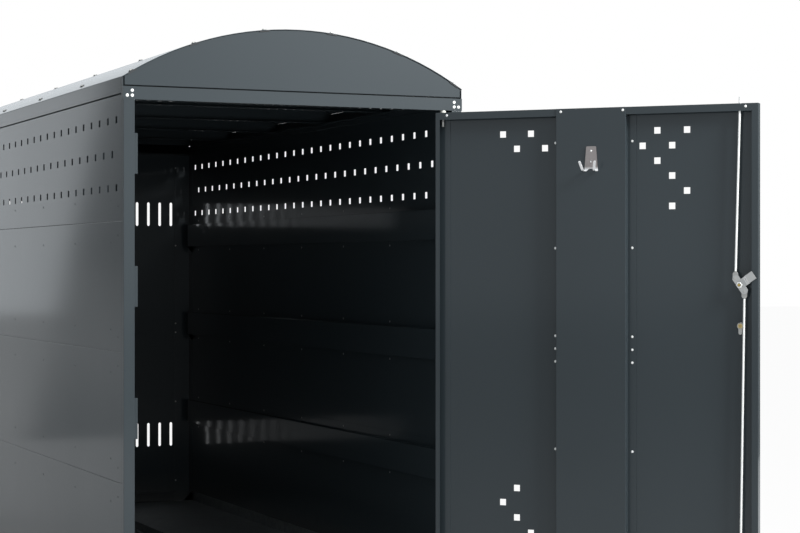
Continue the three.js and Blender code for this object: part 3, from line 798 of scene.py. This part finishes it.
# %% [markdown]
# The photograph shows three bare rivets at each top corner of the front frame. Along the side
# seams and on the back they are small and painted over, and inside their tails stay bare. In
# the end columns the tails would be out of sight inside the seam rails, so none are made.

# %% Rivets on the housing
frame_rivet = dome("frame_rivet", 4.2, 1.4)
small_rivet = dome("small_rivet", 3.0, 0.9)

corner = [(9.3, 1331.4), (22.3, 1331.4), (22.3, 1344)]
places = [((side * (half_width - inset), -half_depth, height), outside["front"])
          for side in (-1, 1) for inset, height in corner]
scatter(frame_rivet, "frame_corner_rivets", "zinc_plate", "housing", places, finish=zinc_painted_glint)

end_column, end_apart = 52, 37
first_column, column_pitch, apart = 118.5, 357.2, 55
columns = [(end_column, end_apart), (2 * half_depth - end_column, end_apart)]
columns += [(first_column + step * column_pitch, apart) for step in range(7)]
for hand, side in zip(hands, (1, -1)):
    spots = [(side * half_width, along - half_depth, seam + up)
             for seam in side_seams for along, rise in columns for up in (-rise, rise)]
    scatter(small_rivet, f"side_rivets_{hand}", "anthracite_paint", "housing",
            [(spot, outside[hand]) for spot in spots])
    tails = [(side * (half_width - 3), y, z) for x, y, z in spots
             if abs(y) < half_depth - end_column - 1]
    scatter(small_rivet, f"side_rivet_tails_{hand}", "zinc_plate", "housing",
            [(spot, (-side, 0, 0)) for spot in tails])

back_spots = [(x, z) for x in (-418, 418) for z in (80, 381, 645, 679, 976, 1272)]
scatter(small_rivet, "back_rivets", "anthracite_paint", "housing",
        [((x, half_depth, z), outside["back"]) for x, z in back_spots])
scatter(small_rivet, "back_rivet_tails", "zinc_plate", "housing",
        [((x, half_depth - 3.5, z), outside["front"]) for x, z in back_spots])
clear_away(frame_rivet)

# %% [markdown]
# The roof sheet is screwed down to the gables and ribs. Each screw has a hexagon head on a
# flange, over a rubber washer that seals the hole. The head starts as a six-sided circle. The
# front row also clamps a short rubber pad between the sheet's edge and the gable.

# %% Roof screws
def hex_screw(name):
    layers = []
    for sides, radius, foot, rise, rim in ((16, 6.2, -0.8, 0.5, 1.2), (6, 4.6, 0, 3.0, 0.7)):
        layers.append(circle(radius, sides, location=(0, 0, foot * MM)))
        extrude((0, 0, rise))
        bpy.ops.mesh.inset(thickness=rim * MM, depth=0.5 * MM)
    flange, head = layers
    only(head)
    flange.select_set(True)
    bpy.ops.object.join()
    head.name = name
    edit(head)
    face_outwards()
    return only(head)


roof_radius, eave_height = 885, 1381.5
rib_edge, rib_pitch = 8, 472.8
pad_size, pad_drop, pad_front = (2.2, 28, 2.5), 2.9, 1.9
roof_centre = eave_height - math.sqrt(roof_radius ** 2 - half_width ** 2)
screw = hex_screw("roof_screw")
washer = dome("roof_washer", 7.5, 1.5, sides=16)
across = [side * x for x in (95, 287, 453.7) for side in (-1, 1)]
rows = [rib_edge - half_depth + k * rib_pitch for k in range(6)]
roof_spots = []
for x in across:
    up = Vector((x, 0, math.sqrt(roof_radius ** 2 - x ** 2))).normalized()
    for y in rows:
        on_sheet = up * roof_radius + Vector((0, y, roof_centre))
        roof_spots.append((on_sheet, up))
scatter(screw, "roof_screws", "zinc_plate", "housing", roof_spots)
scatter(washer, "roof_washers", "anthracite_paint", "housing", roof_spots, finish=rubber)
pad = block((0, 0, 0), pad_size)
pad_spots = [(spot - pad_drop * up + Vector((0, pad_front - rib_edge, 0)), up)
             for spot, up in roof_spots if spot.y < rib_edge + 1 - half_depth]
scatter(pad, "roof_pads", "anthracite_paint", "housing", pad_spots, finish=rubber)
clear_away(screw, washer, pad)

# %% [markdown]
# On the door the rivets are bare. They hold the hat band's flanges to the skin, its ends to
# the returns, and the mitred corners of the tray. The same spots follow at the foot.

# %% Rivets on the door
leaf_low, leaf_high = 43.5, 1314.5
door_rivet = dome("door_rivet", 3.4, 1.1)
band_face, return_face, flange_face = -18.8, -17.0, 4.7
inward = (0, -1, 0)
heights = (1226, 946, 713, 679, 645, 412, 132)
spots = [((x, flange_face, z), inward) for x in (319, 529.5) for z in heights]
edge_gap = 8
for z in (leaf_high - edge_gap, leaf_low + edge_gap):
    spots += [((x, band_face, z), inward) for x in (340.8, 510.5)]
    spots += [((x, return_face, z), inward) for x in (17.4, 833.4)]
scatter(door_rivet, "door_rivets", "zinc_plate", "door", spots, door_place, finish=zinc_painted_glint)

# %% [markdown]
# The plate of the coat hook is dull and dark, while the arms and the lower edge catch the
# light. That highlight is painted into their colour, as a near white, less metallic grade. Two
# masks give that: how far a point stands out from the door, and how high it is over a level
# that lies a little under the hook.

# %% Stainless with a painted highlight
hook_x, hook_back, hook_foot, hook_top = 425.2, -19.1, 1147.5, 1213.5
arms_from, arms_to = 0.023, 0.029
level_drop, edge_from, edge_to = 50, 0.057, 0.060


def stainless_painted_highlight():
    steel = Finish("stainless_painted_highlight")
    depth = steel.along(door_place.to_3x3() @ Vector((0, -1, 0)), door_place.translation)
    level = Vector((0, 0, (hook_foot - level_drop) * MM))
    height = steel.along(Vector((0, 0, 1)), level)
    # The arms and the lower edge get a painted highlight: a near white, less metallic colour.
    lower_edge = 1 - steel.ramp(height, edge_from, edge_to)
    painted_highlight = steel.ramp(depth, arms_from, arms_to).largest(lower_edge)
    grain = steel.noise(260, 3, stretch=(1, 1, 14))
    return steel.wear(
        base_color=steel.mix(painted_highlight, shade(146, 139, 137), shade(236, 237, 238)),
        metallic=1.0 - 0.5 * painted_highlight,
        roughness=0.28 + 0.18 * grain,
        normal=steel.bump(grain, 0.0001, 0.18),
    )


hook_finish = stainless_painted_highlight()
print("made", hook_finish.name)

# %% [markdown]
# The coat hook is one stamping. It starts as a flat ribbon of three strips. The two outer
# strips are drawn on to make the arms, forward and then up.

# %% Hook ribbon
def extrude_edges(piece, test, by):
    pick(piece, test, "EDGE")
    extrude(by)


top_half, foot_half, arm_inner = 13.5, 18.5, 12
arm_run, arm_reach, arm_rise, arm_splay = 28, 42, 25, 5.6
plate_height = hook_top - hook_foot
start_clean()
bpy.ops.mesh.primitive_grid_add(x_subdivisions=3, y_subdivisions=1, size=2)
hook = bpy.context.object
edit(hook, "VERT")
mesh = bmesh.from_edit_mesh(hook.data)
for vert in mesh.verts:
    narrowing = top_half / foot_half if vert.co.y > 0 else 1
    half = foot_half if abs(vert.co.x) > 0.5 else arm_inner
    x = math.copysign(half * narrowing, vert.co.x)
    vert.co = Vector((x, plate_height * (vert.co.y > 0), 0)) * MM
bmesh.update_edit_mesh(hook.data)
extrude_edges(hook, lambda e: middle(e).y < 0.1 * MM and abs(middle(e).x) > arm_inner * MM,
              (0, 0, arm_run))
for side in (-1, 1):
    extrude_edges(hook, lambda e: all(v.co.z > (arm_run - 0.1) * MM and v.co.x * side > 0
                                      for v in e.verts),
                  (side * arm_splay, arm_rise, arm_reach - arm_run))
print("ribbon faces", len(bmesh.from_edit_mesh(hook.data).faces))

# %% [markdown]
# The folds get their radius from a bevel, and the corners theirs. Between the arms the lower
# edge is cut finer and lifted to an arch. Only then does the ribbon get its thickness, so each
# bend is an even sheet.

# %% Hook folds and sheet
bend_round, corner_round, crotch_rise, hook_sheet = 5, 3, 7, 2
folds = pick(hook, lambda e: len(e.link_faces) == 2 and e.calc_face_angle(0) > 0.5, "EDGE")
bpy.ops.mesh.bevel(offset=bend_round * MM, segments=6, affect="EDGES")
pick(hook, lambda v: v.co.z > (arm_reach - 1) * MM or v.co.y > (plate_height - 1) * MM
     and abs(v.co.x) > arm_inner * MM, "VERT")
bpy.ops.mesh.bevel(offset=corner_round * MM, segments=5, affect="VERTICES")


def is_crotch(edge):
    x, y, z = middle(edge) / MM
    return abs(x) < 2 and y < 0.1 and abs(z) < 0.1


pick(hook, is_crotch, "EDGE")
bpy.ops.mesh.subdivide(number_cuts=7)
mesh = bmesh.from_edit_mesh(hook.data)
for vert in mesh.verts:
    share = vert.co.x / (arm_inner * MM)
    if abs(share) < 0.99 and vert.co.y < 0.1 * MM and abs(vert.co.z) < 0.1 * MM:
        vert.co.y += crotch_rise * MM * math.sqrt(1 - share ** 2)
bmesh.update_edit_mesh(hook.data)
face_outwards()
only(hook)
plate_face = max(hook.data.polygons, key=lambda face: face.area)
outward = 1 if plate_face.normal.z > 0 else -1
use(hook, "SOLIDIFY", thickness=hook_sheet * MM, offset=outward, use_even_offset=True)
soften(hook, 0.35)
smooth(hook)
to_door = Matrix.Translation(Vector((hook_x, hook_back, hook_foot)) * MM)
hook.matrix_world = door_place @ to_door @ Matrix.Rotation(math.radians(90), 4, "X")
settle(hook, "coat_hook_stamping", "stainless", "door", "coat_hook", finish=hook_finish)
print("hook folds", folds, "faces", len(hook.data.polygons))

hook_rivet = dome("hook_rivet", 2.6, 1.0)
scatter(hook_rivet, "hook_rivets", "zinc_plate", "door",
        [((hook_x, hook_back - hook_sheet, z), inward) for z in (1201.5, 1173)],
        door_place, finish=zinc_painted_glint)
clear_away(door_rivet, hook_rivet, small_rivet)

# %% [markdown]
# The lock turns on its spindle, so its pieces are modelled about that axis in the locked
# pose. A second matrix, taken from the joint of the handle, turns them to the pose at rest.

# %% The lock's frame of reference
spindle_x, spindle_z, cylinder_z = 818, 850, 745
rest_turn = math.radians(joint["handle_turn"]["range_deg"][0])
lock_place = door_place @ Matrix.Translation(Vector((spindle_x, 0, spindle_z)) * MM)
lock_place = lock_place @ Matrix.Rotation(rest_turn, 4, "Y")
print("lock turned", round(math.degrees(rest_turn), 1))

# %% [markdown]
# The cam plate steps inward where its tongue begins, and the bend there shines. That highlight
# is painted into the colour, as a near white, less metallic band. The core of the cylinder has
# a dark middle in a pale ring. Both finishes are masks in the lock's place.

# %% Cam plate and key core
bend_near, bend_far = (0.019, 0.020), (0.026, 0.027)
core_face, core_edge, ring_edge = -8, 0.0038, 0.0048


def zinc_painted_bend_highlight():
    plate = Finish("zinc_painted_bend_highlight")
    reach = plate.along(lock_place.to_3x3() @ Vector((1, 0, 0)), lock_place.translation)
    # A painted highlight along the bend: near white and less metallic.
    bend_highlight = plate.ramp(reach, *bend_near) * (1 - plate.ramp(reach, *bend_far))
    marks = plate.noise(900, 2, stretch=(1, 1, 0.25))
    return plate.wear(
        base_color=plate.mix(bend_highlight, shade(176, 177, 176), shade(250, 250, 250)),
        metallic=0.75 - 0.65 * bend_highlight,
        roughness=0.34 + 0.12 * marks,
        normal=plate.bump(marks, 0.0001, 0.15),
    )


def ringed_brass():
    brass = Finish("ringed_brass")
    face = door_place @ (Vector((spindle_x, core_face, cylinder_z)) * MM)
    radius = brass.add("ShaderNodeVectorMath", {"operation": "DISTANCE"},
                       {0: brass.place(), 1: face}, output="Value")
    stain = brass.ramp(brass.noise(140, 5), 0.35, 0.7)
    core = brass.mix(stain, brass_clean, brass_stained)
    ring = brass.ramp(radius, core_edge, ring_edge)
    return brass.wear(
        base_color=brass.mix(ring, core, shade(216, 206, 176)),
        metallic=0.9,
        roughness=0.30 + 0.18 * stain,
    )


cam = tumbled("cam_plate", finish=zinc_painted_bend_highlight())
core = tumbled("key_core", finish=ringed_brass())
print("cam faces", len(cam.data.polygons), "core faces", len(core.data.polygons))

# %% [markdown]
# Each rod is a bright drawn shaft, whose glint is painted into a near white colour, with a
# stamped grey eye at the cam plate. One bisect cut across the copy of the CAD rod, where the
# eye narrows to the shaft, gives both pieces.

# %% Lock rods
rod_depth, pin_reach, eye_length = -11.9, 20.8, 18.2
for level, port, up in (("upper", leaf_high, 1), ("lower", leaf_low, -1)):
    node = f"lock_rod_{level}"
    pin = lock_place @ Vector((0, rod_depth * MM, up * pin_reach * MM))
    end = door_place @ (Vector((spindle_x, rod_depth, port)) * MM)
    along = (end - pin).normalized()
    eye_end = pin + along * eye_length * MM
    for part, finish in (("eye", zinc), ("shaft", zinc_painted_glint)):
        piece = merged_copy(node)
        bpy.ops.mesh.select_all(action="SELECT")
        bpy.ops.mesh.bisect(plane_co=eye_end, plane_no=along, use_fill=True,
                            clear_outer=part == "eye", clear_inner=part == "shaft")
        soften(piece, tumbled_round, tumbled_angle)
        smooth(piece)
        settle(piece, f"{node}_{part}", "zinc_plate", body_of(node), node, finish=finish)
        print(node, part, "faces", len(piece.data.polygons))

# %% [markdown]
# The lever is a bar with round ends and soft edges. Its neck grows out of one circle, ring
# by ring: a collar on the plate, a slimmer waist, and a flare under the bar.

# %% Lever handle
plate_back = 8.3
neck_radius = 9
neck_rings = ((8.4, 1.0), (0.8, 0.92), (0.2, 0.88), (3.0, 0.97), (22.0, 1.0), (4.0, 1.06),
              (3.5, 1.1))
lever_centre, lever_size = (-45.5, 56.6, 0), (109, 12, 18)
lever_end_round, lever_edge_round = 8.9, 3.2

neck = circle(neck_radius, 40, location=(0, plate_back * MM, 0),
              rotation=(math.radians(-90), 0, 0))
for by, scale in neck_rings:
    extrude((0, by, 0))
    bpy.ops.transform.resize(value=(scale, 1, scale))
face_outwards()
lever = block(lever_centre, lever_size)
edit(lever, "EDGE")
pick(lever, lambda e: reach_along_y(e) > 10, "EDGE")
bpy.ops.mesh.bevel(offset=lever_end_round * MM, segments=9, affect="EDGES")
pick(lever, lambda e: reach_along_y(e) < 0.1, "EDGE")
bpy.ops.mesh.bevel(offset=lever_edge_round * MM, segments=5, affect="EDGES")
only(lever)
neck.select_set(True)
bpy.ops.object.join()
smooth(lever, angle=40)
lever.matrix_world = lock_place @ lever.matrix_world
settle(lever, "lever_handle", "stainless", "lock_cam", "door_handle")
print("lever faces", len(lever.data.polygons))

# %% [markdown]
# The plate behind the lever has fully rounded ends and broken edges. One round hole lets the
# collar of the lever through. The other has the outline of the cylinder, which is a round
# head, a straight tail and the tail's round foot, so three cutters make it.

# %% Escutcheon
plate_top, plate_low, plate_out, plate_width = 876, 711, 14.3, 34
end_round, rim_round = 16.9, 1.4
collar_hole, cylinder_hole, foot_hole = 9.6, 8.8, 5.05
foot_z, tail_z, tail_width, tail_length, cut_depth = 727.7, 734.6, 10, 13.8, 40

plate = block((spindle_x, (plate_back + plate_out) / 2, (plate_top + plate_low) / 2),
              (plate_width, plate_out - plate_back, plate_top - plate_low))
edit(plate, "EDGE")
pick(plate, lambda e: reach_along_y(e) > 4, "EDGE")
bpy.ops.mesh.bevel(offset=end_round * MM, segments=14, affect="EDGES")
bpy.ops.mesh.select_all(action="SELECT")
bpy.ops.mesh.bevel(offset=rim_round * MM, segments=4, affect="EDGES")


def cut(piece, cutter):
    use(piece, "BOOLEAN", operation="DIFFERENCE", object=cutter, solver="EXACT")
    clear_away(cutter)


for radius, z in ((collar_hole, spindle_z), (cylinder_hole, cylinder_z), (foot_hole, foot_z)):
    start_clean()
    bpy.ops.mesh.primitive_cylinder_add(vertices=40, radius=radius * MM, depth=cut_depth * MM,
                                        location=Vector((spindle_x, plate_out, z)) * MM,
                                        rotation=(math.radians(90), 0, 0))
    cut(plate, bpy.context.object)
cut(plate, block((spindle_x, plate_out, tail_z), (tail_width, cut_depth, tail_length)))
smooth(plate)
plate.matrix_world = door_place @ plate.matrix_world
settle(plate, "escutcheon_plate", "stainless", "door", "escutcheon")
print("escutcheon faces", len(plate.data.polygons))

# %% [markdown]
# The nut is a six-sided prism with a chamfer and a blind bore, in which the threaded end of
# the spindle stands. The rods' pins are riveted over on the face of the cam plate.

# %% Cam nut and pin heads
nut_seat, nut_height, nut_radius, cam_face = -16.6, 5.5, 8.05, -16.3
chamfer_in, chamfer_rise, bore_rim, bore_floor = 0.9, 0.8, 1.7, 0.4
nut = circle(nut_radius, 6, location=(0, nut_seat * MM, 0), rotation=(math.radians(90), 0, 0))
extrude((0, chamfer_rise - nut_height, 0))
bpy.ops.mesh.inset(thickness=chamfer_in * MM, depth=chamfer_rise * MM)
bpy.ops.mesh.inset(thickness=bore_rim * MM, depth=0)
extrude((0, nut_height - bore_floor, 0))
face_outwards()
only(nut)
soften(nut, 0.35, angle=25)
smooth(nut)
nut.matrix_world = lock_place @ nut.matrix_world
settle(nut, "cam_nut_chamfered", "zinc_plate", "lock_cam", "cam_nut", finish=zinc_painted_glint)

pin_head = dome("pin_head", 3.0, 0.8, sides=16)
scatter(pin_head, "cam_pin_heads", "zinc_plate", "lock_cam",
        [((0, cam_face, side * pin_reach), inward) for side in (-1, 1)], lock_place)
clear_away(pin_head)

# %% [markdown]
# A CAD node that nothing replaced keeps its own mesh, and takes the finish of its slot.

# %% Finishes on the CAD nodes
for node, piece in nodes.items():
    if not piece.hide_render:
        piece.data.materials.clear()
        piece.data.materials.append(finish_of[slot_of[node]])
print("plain nodes", sorted(node for node, piece in nodes.items() if not piece.hide_render))
